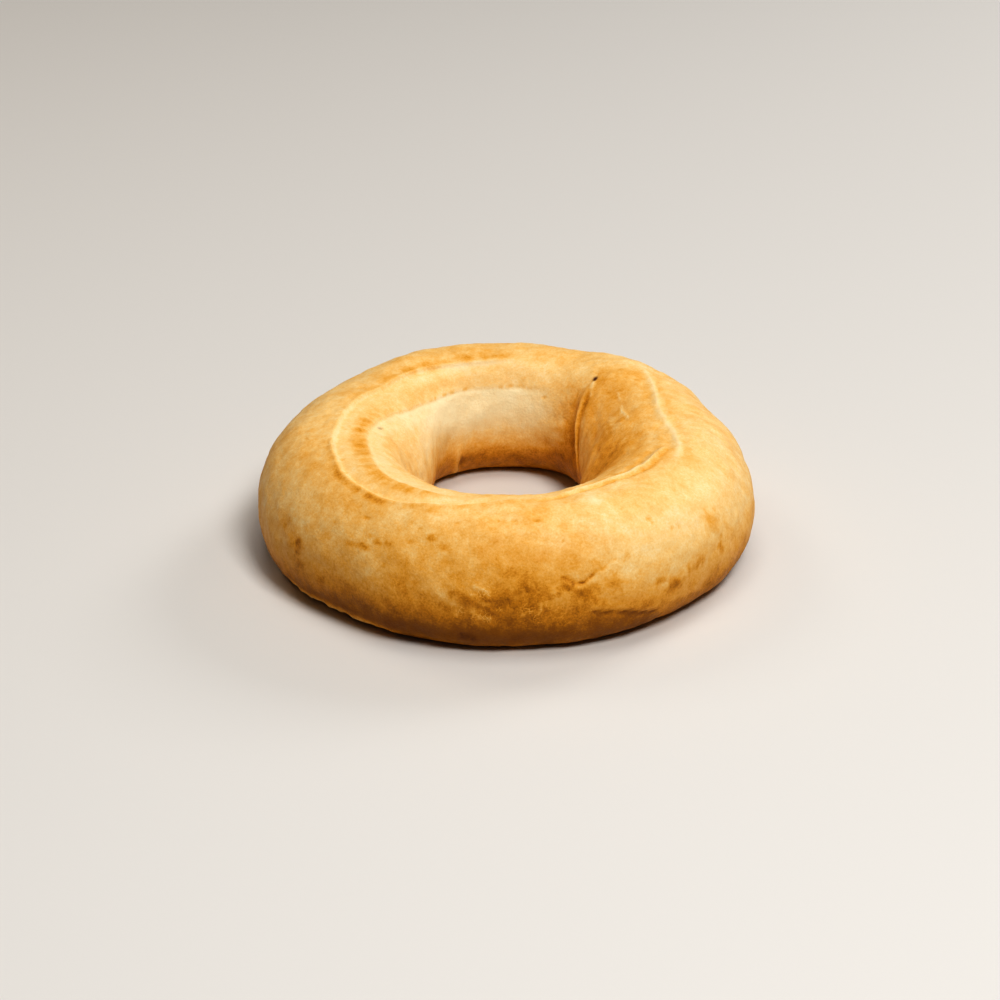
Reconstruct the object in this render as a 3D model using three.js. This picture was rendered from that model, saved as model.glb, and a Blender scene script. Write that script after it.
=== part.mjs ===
import * as THREE from 'three';

// Pandebono, a baked cheese bread shaped as a closed ring that lies flat on its base.
// Sizes are in millimetres and plan angles in degrees: 0 is to the right (+X), 90 to the back (+Y).

// Sizes that change round the ring.
// A plain value, then swellings as [amount, plan angle, half width in degrees, sharpness].
const OUTER_RADIUS = [
  59.4, [9.1, 91, 46], [2.7, 49, 16], [-0.6, 130, 14], [-0.9, 224, 15], [-0.7, 325, 16], [0.5, 38, 4],
];
const HOLE_RADIUS = [18.2, [20.4, 92, 43, 3], [3.4, 41, 17], [5.3, 265, 34], [1.0, 150, 16]];
const HEIGHT = [30.3, [1.2, 190, 50], [-0.5, 72, 8], [0.9, 53, 12]];
const CREST_SHARE = [0.56, [-0.11, 90, 42]];
const OUTER_WIDE_HEIGHT = [12.0];
const HOLE_WIDE_HEIGHT = [12.0, [-2.4, 90, 60]];
const OUTER_FOOT_INSET = [8.3, [1.4, 222, 18], [1.6, 312, 26]];
const HOLE_FOOT_INSET = [8.0, [1.9, 78, 36], [1.2, 36, 14]];
const OUTER_FULLNESS = [0.01];
const HOLE_FULLNESS = [-0.05, [0.15, 90, 45], [0.10, 268, 36]];
const FOOT_FULLNESS = 0.03;

// Creases of the rolled dough: each one is a low step that goes down towards the hole.
const CREASES = [
  {
    radius: [39.2, [6.3, 95, 35, 2.6], [7.2, 230, 33, 2.4], [0.9, 328, 14], [-3.9, 311, 21], [0.4, 188, 28]],
    from: 78,
    to: 348,
    depth: 0.6,
    reach: 3.2,
  },
  {
    radius: [30.8, [9.6, 87, 40, 4], [8.4, 242, 47], [0.9, 150, 26]],
    from: 68,
    to: 256,
    depth: 0.5,
    reach: 2.6,
  },
  { radius: [38.9, [14.2, 58, 22], [3.6, 342, 14]], from: -26, to: 54, depth: 0.35, reach: 3.0 },
];
const CREASE_FADE = 14;
const CREASE_SHARPNESS = 0.55;
const SECTION_SCALE = 19.5;

// Seam where the two ends of the dough meet: a rounded lobe, a rim along it and a cleft behind it.
// Its line is given as [turn of the section, plan angle], both in degrees.
const SEAM_LINE = [
  [106, 57.4], [114, 57.5], [122, 58.2], [132, 59.4], [144, 59.6],
  [156, 58.4], [166, 56.4], [176, 52.6], [188, 49.0], [215, 47.8],
];
const SEAM_ANGLE_MIDDLE = 55;
const SEAM_LEAN_START = 60;
const SEAM_LEAN_WIDTH = 14;
const LOBE_BULGE = 2.2;
const LOBE_REACH = 14;
const CLEFT_DEPTH = 2.4;
const CLEFT_REACH = 7;
const SEAM_SOFTNESS = 1.1;
const RIM_HEIGHT = 0.30;
const RIM_OFFSET = 1.4;
const RIM_WIDTH = 1.2;
const RIM_GROOVE_DEPTH = 0.24;
const RIM_GROOVE_OFFSET = 3.8;
const RIM_GROOVE_WIDTH = 1.4;
const SEAM_FADE_IN = [116, 156];
const SEAM_FADE_OUT = [140, 215];

// How far the left of the hole wall stands back half way down, and its turns of the section.
const WALL_HOLLOW = [0, [3.0, 184, 36], [-2.0, 126, 12]];
const HOLLOW_FADE_IN = [118, 172];
const HOLLOW_FADE_OUT = [200, 262];

// Pit left where the seam runs out on the top.
const PIT = { angle: 57.2, radius: 40.8, width: 1.5, depth: 0.8 };

// Counts of the surface grid.
const COLUMNS = 132;
const BASE_ROWS = 2;
const FOOT_ROWS = 5;
const UPPER_ROWS = 25;
const HOLE_FOOT_ROWS = 4;
const SEAM_COLUMN_DENSITY = 2.4;
const SEAM_COLUMN_WIDTH = 7;
const CREASE_ROW_DENSITY = 3.0;
const CREASE_ROW_WIDTH = 0.07;

const CRUST_COLOUR = 0xe3ad5c;

const radians = THREE.MathUtils.degToRad;

// Signed difference of two plan angles, from -180 to 180.
function angleGap(angle, centre) {
  return THREE.MathUtils.euclideanModulo(angle - centre + 180, 360) - 180;
}

// Bell-shaped weight around a plan angle.
function swell(angle, centre, width, sharpness = 2) {
  return Math.exp(-Math.pow(Math.abs(angleGap(angle, centre) / width), sharpness));
}

// Strength of a feature at a turn of the section: it rises over the first range and ends over the second.
function fadeAt(turn, [inStart, inEnd], [outStart, outEnd]) {
  const rise = THREE.MathUtils.smoothstep(turn, radians(inStart), radians(inEnd));
  return rise * (1 - THREE.MathUtils.smoothstep(turn, radians(outStart), radians(outEnd)));
}

// Slope of a line of [place, value] nodes at one of them.
function nodeSlope(nodes, index) {
  const before = nodes[Math.max(index - 1, 0)];
  const after = nodes[Math.min(index + 1, nodes.length - 1)];
  return (after[1] - before[1]) / (after[0] - before[0]);
}

// Value of a smooth line through [place, value] nodes, which keeps its end values outside them.
function curveThrough(nodes, place) {
  const next = nodes.findIndex((node) => node[0] > place);
  const index = next < 0 ? nodes.length - 2 : Math.max(next - 1, 0);
  const [[start, low], [end, high]] = [nodes[index], nodes[index + 1]];
  const step = end - start;
  const t = THREE.MathUtils.clamp((place - start) / step, 0, 1);
  const fromLow = (1 + 2 * t) * (1 - t) ** 2 * low + t * (1 - t) ** 2 * step * nodeSlope(nodes, index);
  return fromLow + t ** 2 * (3 - 2 * t) * high - t ** 2 * (1 - t) * step * nodeSlope(nodes, index + 1);
}

// Value of a changing size at a plan angle.
function sizeAt(spec, angle) {
  const [base, ...swells] = spec;
  return swells.reduce((sum, [amount, ...where]) => sum + amount * swell(angle, ...where), base);
}

// All sizes of the cross-section at a plan angle.
function sectionAt(angle) {
  const outer = sizeAt(OUTER_RADIUS, angle);
  const hole = sizeAt(HOLE_RADIUS, angle);
  return {
    outer,
    hole,
    crest: hole + (outer - hole) * sizeAt(CREST_SHARE, angle),
    height: sizeAt(HEIGHT, angle),
    outerWide: sizeAt(OUTER_WIDE_HEIGHT, angle),
    holeWide: sizeAt(HOLE_WIDE_HEIGHT, angle),
    outerFoot: outer - sizeAt(OUTER_FOOT_INSET, angle),
    holeFoot: hole + sizeAt(HOLE_FOOT_INSET, angle),
    outerFull: sizeAt(OUTER_FULLNESS, angle),
    holeFull: sizeAt(HOLE_FULLNESS, angle),
  };
}

// Point on an ellipse quarter that is slightly fuller or flatter between its ends.
function roundedPoint(turn, centre, reach, full) {
  const swollen = 1 + full * Math.sin(2 * turn) ** 2;
  return [
    centre[0] + reach[0] * Math.cos(turn) * swollen,
    centre[1] + reach[1] * Math.sin(turn) * swollen,
  ];
}

// Centre, reach and fullness of the upper part: turn 0 is the outer side, 180 degrees the hole side.
function upperQuarter(section, turn) {
  const isOuter = turn <= Math.PI / 2;
  const wide = isOuter ? section.outerWide : section.holeWide;
  const across = isOuter ? section.outer - section.crest : section.crest - section.hole;
  return {
    centre: [section.crest, wide],
    reach: [across, section.height - wide],
    full: isOuter ? section.outerFull : section.holeFull,
  };
}

// Turn of the upper part that lies at a given radius.
function turnAtRadius(section, radius) {
  const quarter = upperQuarter(section, radius > section.crest ? 0 : Math.PI);
  const share = (radius - section.crest) / quarter.reach[0];
  let turn = Math.acos(THREE.MathUtils.clamp(share, -1, 1));
  for (let pass = 0; pass < 6; pass += 1) {
    const swollen = 1 + quarter.full * Math.sin(2 * turn) ** 2;
    turn = Math.acos(THREE.MathUtils.clamp(share / swollen, -1, 1));
  }
  return turn;
}

// Strength of a crease at a plan angle: 1 along its run, fading to 0 at both ends.
function creaseStrength(crease, angle) {
  const half = (crease.to - crease.from) / 2;
  const gap = Math.abs(angleGap(angle, crease.from + half));
  return 1 - THREE.MathUtils.smoothstep(gap, half - CREASE_FADE, half);
}

// Creases that cross the section at a plan angle.
function creasesAt(section, angle) {
  return CREASES.map((crease) => ({
    ...crease,
    turn: turnAtRadius(section, sizeAt(crease.radius, angle)),
    strength: creaseStrength(crease, angle),
  }));
}

// Height of the creases over the smooth section: raised on the outer side, lowered on the hole side.
function creaseRelief(creases, turn) {
  return creases.reduce((sum, crease) => {
    const away = (turn - crease.turn) * SECTION_SCALE;
    const step = -Math.tanh(away / CREASE_SHARPNESS) * Math.exp(-Math.abs(away) / crease.reach);
    return sum + crease.strength * crease.depth * step;
  }, 0);
}

// Plan angle of the seam at a turn of the section: it bows to the left, then leans to the right.
function seamAngle(turn) {
  return curveThrough(SEAM_LINE, THREE.MathUtils.radToDeg(turn));
}

// Plan angle of a point in a column: the columns near the seam lean with it on the hole side.
function leaningAngle(angle, turn, share = 1) {
  const side = THREE.MathUtils.smoothstep(turn, radians(SEAM_LEAN_START), radians(SEAM_FADE_IN[0]));
  const near = share * side * swell(angle, SEAM_ANGLE_MIDDLE, SEAM_LEAN_WIDTH);
  return angle + near * (seamAngle(turn) - SEAM_ANGLE_MIDDLE);
}

// How far the lobe, its rim and the cleft move the hole wall towards the hole.
function seamRelief(angle, turn) {
  const gap = angleGap(angle, seamAngle(turn));
  const lobe = gap < 0
    ? LOBE_BULGE * Math.exp(gap / LOBE_REACH)
    : -CLEFT_DEPTH * Math.exp(-gap / CLEFT_REACH);
  const rim = RIM_HEIGHT * Math.exp(-(((gap + RIM_OFFSET) / RIM_WIDTH) ** 2));
  const groove = RIM_GROOVE_DEPTH * Math.exp(-(((gap + RIM_GROOVE_OFFSET) / RIM_GROOVE_WIDTH) ** 2));
  const relief = lobe * Math.tanh(Math.abs(gap) / SEAM_SOFTNESS) + rim - groove;
  return relief * fadeAt(turn, SEAM_FADE_IN, SEAM_FADE_OUT);
}

// How far the hole wall moves towards the hole: the seam's relief less the hollow of the left side.
function wallRelief(angle, turn) {
  const hollow = sizeAt(WALL_HOLLOW, angle) * fadeAt(turn, HOLLOW_FADE_IN, HOLLOW_FADE_OUT);
  return seamRelief(angle, turn) - hollow;
}

// Depth of the small pit at a point of the top.
function pitRelief(angle, radius) {
  const along = radians(angleGap(angle, PIT.angle)) * PIT.radius;
  const across = radius - PIT.radius;
  return PIT.depth * Math.exp(-(along ** 2 + across ** 2) / PIT.width ** 2);
}

// Point at a radius, a plan angle and a height.
function pointAt(radius, angle, height) {
  return [radius * Math.cos(radians(angle)), radius * Math.sin(radians(angle)), height];
}

// Point of the flat base, from the hole side (share 0) to the outer side (share 1).
function basePoint(column, share) {
  const angle = leaningAngle(column, 1.5 * Math.PI, 1 - share);
  const section = sectionAt(angle);
  return pointAt(THREE.MathUtils.lerp(section.holeFoot, section.outerFoot, share), angle, 0);
}

// Point of the rounded foot on the outer side, from the base up.
function outerFootPoint(column, share) {
  const section = sectionAt(column);
  const centre = [section.outerFoot, section.outerWide];
  const reach = [section.outer - section.outerFoot, section.outerWide];
  const [radius, height] = roundedPoint((-Math.PI / 2) * (1 - share), centre, reach, FOOT_FULLNESS);
  return pointAt(radius, column, height);
}

// Point of the upper part with its relief.
function upperPoint(column, turn) {
  const angle = leaningAngle(column, turn);
  const section = sectionAt(angle);
  const { centre, reach, full } = upperQuarter(section, turn);
  const [radius, height] = roundedPoint(turn, centre, reach, full);
  const normal = new THREE.Vector2(Math.cos(turn) / reach[0], Math.sin(turn) / reach[1]).normalize();
  const relief = creaseRelief(creasesAt(section, angle), turn) - pitRelief(angle, radius);
  const moved = radius + normal.x * relief - wallRelief(angle, turn);
  return pointAt(moved, angle, height + normal.y * relief);
}

// Point of the rounded foot on the hole side, from the widest point down to the base.
function holeFootPoint(column, share) {
  const turn = Math.PI * (1 + share / 2);
  const angle = leaningAngle(column, turn);
  const section = sectionAt(angle);
  const reach = [section.holeFoot - section.hole, section.holeWide];
  const [radius, height] = roundedPoint(turn, [section.holeFoot, section.holeWide], reach, 0);
  return pointAt(radius - wallRelief(angle, turn), angle, height);
}

// Evenly spaced values 0, 1/count, ... below 1.
function shares(count) {
  return Array.from({ length: count }, (_, index) => index / count);
}

// Value between low and high whose running total equals the target, found by halving.
function invert(total, target, low, high) {
  let [below, above] = [low, high];
  for (let pass = 0; pass < 40; pass += 1) {
    const middle = (below + above) / 2;
    if (total(middle) < target) {
      below = middle;
    } else {
      above = middle;
    }
  }
  return (below + above) / 2;
}

// Turns of the upper rows, closer together where the creases run.
function upperTurns(creases) {
  const total = (turn) => creases.reduce((sum, crease) => {
    const gain = crease.strength * CREASE_ROW_DENSITY * CREASE_ROW_WIDTH;
    return sum + gain * Math.tanh((turn - crease.turn) / CREASE_ROW_WIDTH);
  }, turn);
  const start = total(0);
  const end = total(Math.PI);
  return shares(UPPER_ROWS).map((share) => invert(total, start + (end - start) * share, 0, Math.PI));
}

// Closed loop of points in a column: base, outer foot, upper part and hole foot.
function columnPoints(column) {
  const turns = upperTurns(creasesAt(sectionAt(column), column));
  return [
    ...shares(BASE_ROWS).map((share) => basePoint(column, share)),
    ...shares(FOOT_ROWS).map((share) => outerFootPoint(column, share)),
    ...turns.map((turn) => upperPoint(column, turn)),
    ...shares(HOLE_FOOT_ROWS).map((share) => holeFootPoint(column, share)),
  ];
}

// Plan angles of the columns, closer together at the seam.
function columnAngles() {
  const gain = SEAM_COLUMN_DENSITY * SEAM_COLUMN_WIDTH;
  const total = (angle) => angle + gain * Math.tanh((angle - SEAM_ANGLE_MIDDLE) / SEAM_COLUMN_WIDTH);
  const low = SEAM_ANGLE_MIDDLE - 180;
  const high = SEAM_ANGLE_MIDDLE + 180;
  const turnAt = (share) => THREE.MathUtils.lerp(total(low), total(high), share);
  return shares(COLUMNS).map((share) => invert(total, turnAt(share), low, high));
}

// Closed surface through all columns, facing out.
function ringGeometry() {
  const columns = columnAngles().map(columnPoints);
  const rows = columns[0].length;
  const positions = columns.flat(2);
  const index = [];
  for (let column = 0; column < COLUMNS; column += 1) {
    const next = (column + 1) % COLUMNS;
    for (let row = 0; row < rows; row += 1) {
      const up = (row + 1) % rows;
      const [a, b, c, d] = [column * rows + row, next * rows + row, next * rows + up, column * rows + up];
      index.push(a, b, c, a, c, d);
    }
  }
  const geometry = new THREE.BufferGeometry();
  geometry.setAttribute('position', new THREE.Float32BufferAttribute(positions, 3));
  geometry.setIndex(index);
  return geometry;
}

// Ring with the middle of its outline over the origin and its base at height 0.
function centredRing() {
  const geometry = ringGeometry();
  geometry.computeBoundingBox();
  const middle = geometry.boundingBox.getCenter(new THREE.Vector3());
  geometry.translate(-middle.x, -middle.y, 0);
  geometry.computeVertexNormals();
  return geometry;
}

function buildPart() {
  const crust = new THREE.MeshStandardMaterial({ color: CRUST_COLOUR, roughness: 0.65, metalness: 0 });
  crust.name = 'crust';
  const ring = new THREE.Mesh(centredRing(), crust);
  ring.name = 'bread_ring';
  const part = new THREE.Group();
  part.name = 'pandebono_ring';
  part.add(ring);
  return part;
}

export default buildPart();
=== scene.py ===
"""Pandebono: a baked cheese bread shaped as a closed ring, lying on a pale floor in soft studio light.

The form classes hold sizes in millimetres and plan angles in degrees: angle 0 is to the right (+X) and
angle 90 to the back (+Y). A cross-section is followed by its turn: -90 degrees is the outer edge of the
flat base, 0 the widest point outside, 90 the crest, 180 the widest point of the hole wall and 270 the
How far the crust is baked is a level: 0 is cream, 0.5 golden, 1 brown. The same level also carries painted
shade low on the ring, in the hole, on the lobe and beside the seam, and painted light on the back wall.
"""

import logging
import math
from abc import ABC, abstractmethod
from collections.abc import Callable
from dataclasses import dataclass, field
from enum import Enum
from functools import partial, reduce

import bpy
import numpy as np
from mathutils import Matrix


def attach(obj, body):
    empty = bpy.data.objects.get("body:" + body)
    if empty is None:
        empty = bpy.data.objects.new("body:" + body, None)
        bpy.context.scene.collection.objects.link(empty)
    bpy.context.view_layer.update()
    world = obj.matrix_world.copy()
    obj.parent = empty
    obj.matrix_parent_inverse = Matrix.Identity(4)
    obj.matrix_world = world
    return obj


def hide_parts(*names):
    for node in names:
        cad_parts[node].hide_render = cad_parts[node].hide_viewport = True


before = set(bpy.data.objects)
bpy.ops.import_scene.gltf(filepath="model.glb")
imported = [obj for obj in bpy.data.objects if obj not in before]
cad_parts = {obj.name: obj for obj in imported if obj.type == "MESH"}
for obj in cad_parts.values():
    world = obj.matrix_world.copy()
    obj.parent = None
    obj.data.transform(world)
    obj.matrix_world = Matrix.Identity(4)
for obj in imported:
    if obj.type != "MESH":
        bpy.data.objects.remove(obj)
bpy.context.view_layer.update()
LOG = logging.getLogger("pandebono")
Array = np.ndarray
Colour = tuple[float, float, float]
Nodes = tuple[tuple[float, float], ...]
MM = 0.001
HALVINGS = 34


def show(name: str, data: bpy.types.ID) -> bpy.types.Object:
    """Object of the given data, linked into the scene."""
    thing = bpy.data.objects.new(name, data)
    bpy.context.scene.collection.objects.link(thing)
    return thing


def smooth_rise(values: Array, start: float, end: float) -> Array:
    """3t squared minus 2t cubed, from 0 at the start to 1 at the end, which may be the lower value."""
    share = np.clip((values - start) / (end - start), 0.0, 1.0)
    return share * share * (3.0 - 2.0 * share)


def bell(values: Array, width: float) -> Array:
    """Bell of half width `width` around 0: exp of minus (value / width) squared."""
    return np.exp(-((values / width) ** 2))


def angle_gap(angles: Array, centre: float | Array) -> Array:
    """Signed difference of plan angles, from -180 to 180."""
    return (angles - centre + 180.0) % 360.0 - 180.0


def curve_through(places: Array, at: Array, values: Array) -> Array:
    """Smooth curve through given values: a cubic between neighbours whose slopes are central ones.

    Args:
        places: Where the curve is wanted.
        at: Rising places of the given values.
        values: The given values.

    Returns:
        The curve, which keeps its end values outside the given places.
    """
    slopes = np.gradient(values, at)
    index = np.clip(np.searchsorted(at, places) - 1, 0, len(at) - 2)
    step = at[index + 1] - at[index]
    share = np.clip((places - at[index]) / step, 0.0, 1.0)
    rest = 1.0 - share
    start = (1.0 + 2.0 * share) * rest**2 * values[index] + share * rest**2 * step * slopes[index]
    end = share**2 * (3.0 - 2.0 * share) * values[index + 1] - share**2 * rest * step * slopes[index + 1]
    return start + end


def find_by_halving(total: Callable[[Array], Array], target: Array, low: float, high: float) -> Array:
    """Value whose rising running total equals a target, for whole arrays at once.

    Args:
        total: The running total, rising with its value.
        target: The totals that are wanted.
        low: Lowest value.
        high: Highest value.

    Returns:
        The values that give the targets.
    """
    below, above = np.full(target.shape, low), np.full(target.shape, high)
    for _ in range(HALVINGS):
        middle = 0.5 * (below + above)
        short = total(middle) < target
        below, above = np.where(short, middle, below), np.where(short, above, middle)
    return 0.5 * (below + above)


@dataclass(frozen=True)
class Swell:
    """A bell-shaped addition to a size around one plan angle."""

    amount: float
    angle: float
    width: float
    sharpness: float = 2.0

    def weight(self, angles: Array) -> Array:
        """exp of minus |angle gap / width| to the power of the sharpness."""
        return np.exp(-(np.abs(angle_gap(angles, self.angle) / self.width) ** self.sharpness))


@dataclass(frozen=True)
class RoundSize:
    """A size that changes slowly round the ring: a plain value and its swellings."""

    base: float
    swells: tuple[Swell, ...] = ()

    def at(self, angles: Array) -> Array:
        """The plain value plus each swelling's amount times its bell."""
        return self.base + sum((s.amount * s.weight(angles) for s in self.swells), np.zeros_like(angles))


@dataclass(frozen=True)
class Noise:
    """Smooth random unevenness: a seeded sum of sine waves that run in all directions."""

    seed: int
    wavelength: float
    amount: float = 1.0
    waves: int = 28

    def at(self, points: Array) -> Array:
        """Mean-free field of about the given strength.

        Each wave is the sine of (direction . point) times 2 pi over its own wavelength, which lies
        between 0.7 and 1.4 times the given one, plus a random phase.

        Args:
            points: Places in millimetres, last axis of 3.

        Returns:
            The field, without the last axis.
        """
        draw = np.random.default_rng(self.seed)
        ways = draw.normal(size=(self.waves, 3))
        ways /= np.linalg.norm(ways, axis=1, keepdims=True)
        ways *= (2.0 * math.pi / (self.wavelength * draw.uniform(0.7, 1.4, self.waves)))[:, None]
        phases = draw.uniform(0.0, 2.0 * math.pi, self.waves)
        total = sum(np.sin(points @ way + phase) for way, phase in zip(ways, phases))
        return total * self.amount * math.sqrt(2.0 / self.waves)


CREASE_WAVES = (Noise(11, 4.0, 0.05), Noise(12, 15.0, 0.16))
STREAKS = Noise(21, 3.0, 0.7)
DOTS = Noise(23, 2.4)
RAGGED_EDGES = Noise(31, 2.2)
UNEVENNESS = (Noise(1, 22.0, 0.14), Noise(2, 8.0, 0.07), Noise(3, 3.2, 0.035), Noise(4, 1.6, 0.014))
LOBE_FOLDS = (Noise(41, 7.0, 0.12), Noise(42, 2.8, 0.04))
LIP_TEARS = (Noise(51, 6.5, 0.18), Noise(52, 2.6, 0.34))


def noise_sum(noises: tuple[Noise, ...], points: Array) -> Array:
    """Sum of several noises at the same places."""
    return sum(noise.at(points) for noise in noises)


@dataclass(frozen=True)
class Seam:
    """Where the two ends of the dough meet on the hole wall: lobe, rim, groove and cleft."""

    nodes: Nodes = ((106, 57.4), (114, 57.5), (122, 58.2), (132, 59.4), (144, 59.6), (156, 58.4), (166, 56.4),
                    (176, 52.6), (188, 49.0), (215, 47.8))
    middle: float = 55.0
    lean_start: float = 60.0
    lean_width: float = 14.0
    lobe: float = 2.2
    lobe_reach: float = 14.0
    cleft: float = 2.4
    cleft_reach: float = 7.0
    softness: float = 1.1
    rim: tuple[float, float, float] = (0.30, 1.4, 1.2)
    groove: tuple[float, float, float] = (0.24, 3.8, 1.4)
    fade_in: tuple[float, float] = (116.0, 156.0)
    fade_out: tuple[float, float] = (140.0, 215.0)

    def angle_at(self, turns: Array) -> Array:
        """Plan angle of the seam at a turn: it bows to the left, then leans to the right on its way down."""
        at, angles = np.array(self.nodes, dtype=float).T
        return curve_through(np.degrees(turns), at, angles)

    def lean(self, angles: Array, turns: Array, share: float | Array = 1.0) -> Array:
        """Plan angles of upright grid columns, turned to lean with the seam on the hole side."""
        side = smooth_rise(np.degrees(turns), self.lean_start, self.fade_in[0])
        near = share * side * Swell(1.0, self.middle, self.lean_width).weight(angles)
        return angles + near * (self.angle_at(turns) - self.middle)

    def gap(self, angles: Array, turns: Array) -> Array:
        """Angle past the seam: below 0 on the lobe, above 0 on the back wall."""
        return angle_gap(angles, self.angle_at(turns))

    def fade(self, turns: Array) -> Array:
        """Strength of the seam along the section: 1 on the wall, 0 on the top and at the base."""
        degrees = np.degrees(turns)
        return smooth_rise(degrees, *self.fade_in) * (1.0 - smooth_rise(degrees, *self.fade_out))

    def relief(self, angles: Array, turns: Array) -> Array:
        """How far the wall stands into the hole.

        The lobe falls off as exp(gap / reach) on its side, and the cleft goes back as exp(-gap / reach)
        on the other. Both start at 0 on the seam by a tanh. The rim and groove are bells beside it.

        Args:
            angles: Plan angles.
            turns: Turns of the section.

        Returns:
            Millimetres towards the hole.
        """
        gap = self.gap(angles, turns)
        lobe = self.lobe * np.exp(np.minimum(gap, 0.0) / self.lobe_reach)
        cleft = -self.cleft * np.exp(-np.maximum(gap, 0.0) / self.cleft_reach)
        sides = np.where(gap < 0.0, lobe, cleft) * np.tanh(np.abs(gap) / self.softness)
        rim = self.rim[0] * bell(gap + self.rim[1], self.rim[2])
        groove = self.groove[0] * bell(gap + self.groove[1], self.groove[2])
        return self.fade(turns) * (sides + rim - groove)


@dataclass(frozen=True)
class Quarter:
    """Centre, reach and fullness of the section's ellipse quarters, one value for each point."""

    centre: tuple[Array, Array]
    reach: tuple[Array, Array]
    full: Array


@dataclass(frozen=True)
class RingForm:
    """The smooth body of the ring: a section of four ellipse quarters on a flat base."""

    outer_radius: RoundSize = RoundSize(59.4, (
        Swell(9.1, 91, 46), Swell(2.7, 49, 16), Swell(-0.6, 130, 14),
        Swell(-0.9, 224, 15), Swell(-0.7, 325, 16), Swell(0.5, 38, 4)))
    hole_radius: RoundSize = RoundSize(18.2, (
        Swell(20.4, 92, 43, 3), Swell(3.4, 41, 17), Swell(5.3, 265, 34), Swell(1.0, 150, 16)))
    height: RoundSize = RoundSize(30.3, (Swell(1.2, 190, 50), Swell(-0.5, 72, 8), Swell(0.9, 53, 12)))
    crest_share: RoundSize = RoundSize(0.56, (Swell(-0.11, 90, 42),))
    outer_wide: RoundSize = RoundSize(12.0)
    hole_wide: RoundSize = RoundSize(12.0, (Swell(-2.4, 90, 60),))
    outer_inset: RoundSize = RoundSize(8.3, (Swell(1.4, 222, 18), Swell(1.6, 312, 26)))
    hole_inset: RoundSize = RoundSize(8.0, (Swell(1.9, 78, 36), Swell(1.2, 36, 14)))
    outer_full: RoundSize = RoundSize(0.01)
    hole_full: RoundSize = RoundSize(-0.05, (Swell(0.15, 90, 45), Swell(0.10, 268, 36)))
    foot_full: float = 0.03
    hollows: tuple[Swell, ...] = (Swell(3.0, 184, 36), Swell(-2.0, 126, 12))
    hollow_turns: tuple[float, float, float, float] = (118.0, 172.0, 200.0, 262.0)
    seam: Seam = Seam()
    middle: tuple[float, float] = (0.0, 4.57)

    def crest(self, angles: Array) -> Array:
        """Radius of the crest, a share of the way from the hole to the outer side."""
        hole = self.hole_radius.at(angles)
        return hole + (self.outer_radius.at(angles) - hole) * self.crest_share.at(angles)

    def feet(self, angles: Array) -> tuple[Array, Array]:
        """Radii of the flat base's edges, at the hole and outside."""
        hole = self.hole_radius.at(angles) + self.hole_inset.at(angles)
        return hole, self.outer_radius.at(angles) - self.outer_inset.at(angles)

    def quarter(self, angles: Array, turns: Array) -> Quarter:
        """The ellipse quarter that each point lies on.

        Args:
            angles: Plan angles.
            turns: Turns of the section.

        Returns:
            Centre as radius and height, reach across and up, and the fullness.
        """
        outer, hole, crest = self.outer_radius.at(angles), self.hole_radius.at(angles), self.crest(angles)
        hole_foot, outer_foot = self.feet(angles)
        outer_wide, hole_wide = self.outer_wide.at(angles), self.hole_wide.at(angles)
        height = self.height.at(angles)
        parts = [turns < 0.0, turns <= 0.5 * math.pi, turns <= math.pi]
        radius = np.select(parts, [outer_foot, crest, crest], hole_foot)
        level = np.select(parts, [outer_wide, outer_wide, hole_wide], hole_wide)
        across = np.select(parts, [outer - outer_foot, outer - crest, crest - hole], hole_foot - hole)
        up = np.select(parts, [outer_wide, height - outer_wide, height - hole_wide], hole_wide)
        outer_full, hole_full = self.outer_full.at(angles), self.hole_full.at(angles)
        full = np.select(parts, [np.full_like(outer, self.foot_full), outer_full, hole_full], 0.0)
        return Quarter((radius, level), (across, up), full)

    def place(self, angles: Array, turns: Array) -> Array:
        """Points of the smooth body.

        Radius is the centre's plus reach times cos(turn), and height the centre's plus reach times
        sin(turn), both swollen by 1 + fullness times sin(2 turn) squared. The seam and the hollows of
        the left wall move the radius.

        Args:
            angles: Plan angles.
            turns: Turns of the section.

        Returns:
            Places in millimetres, with a last axis of 3.
        """
        part = self.quarter(angles, turns)
        swollen = 1.0 + part.full * np.sin(2.0 * turns) ** 2
        radius = part.centre[0] + part.reach[0] * np.cos(turns) * swollen
        height = part.centre[1] + part.reach[1] * np.sin(turns) * swollen
        radius = radius + self.hollow(angles, turns) - self.seam.relief(angles, turns)
        return self.spot(angles, radius, height)

    def hollow(self, angles: Array, turns: Array) -> Array:
        """How far the left of the hole wall stands back, which it does only half way down."""
        start, full, end, gone = self.hollow_turns
        degrees = np.degrees(turns)
        wall = smooth_rise(degrees, start, full) * (1.0 - smooth_rise(degrees, end, gone))
        return wall * sum(swell.amount * swell.weight(angles) for swell in self.hollows)

    def spot(self, angles: Array, radius: Array, height: Array | float) -> Array:
        """Place at a plan angle, radius and height, with the outline's middle over the origin."""
        plan = np.radians(angles)
        x = radius * np.cos(plan) - self.middle[0]
        y = radius * np.sin(plan) - self.middle[1]
        return np.stack([x, y, height + 0.0 * x], axis=-1)

    def speed(self, angles: Array, turns: Array) -> Array:
        """Millimetres along the section for each radian of turn."""
        part = self.quarter(angles, turns)
        return np.hypot(part.reach[0] * np.sin(turns), part.reach[1] * np.cos(turns))


STRIP_RADIUS = 46.0
STRIP_HEIGHT = 3.5
MOST_RAGGED = 1.3


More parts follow.
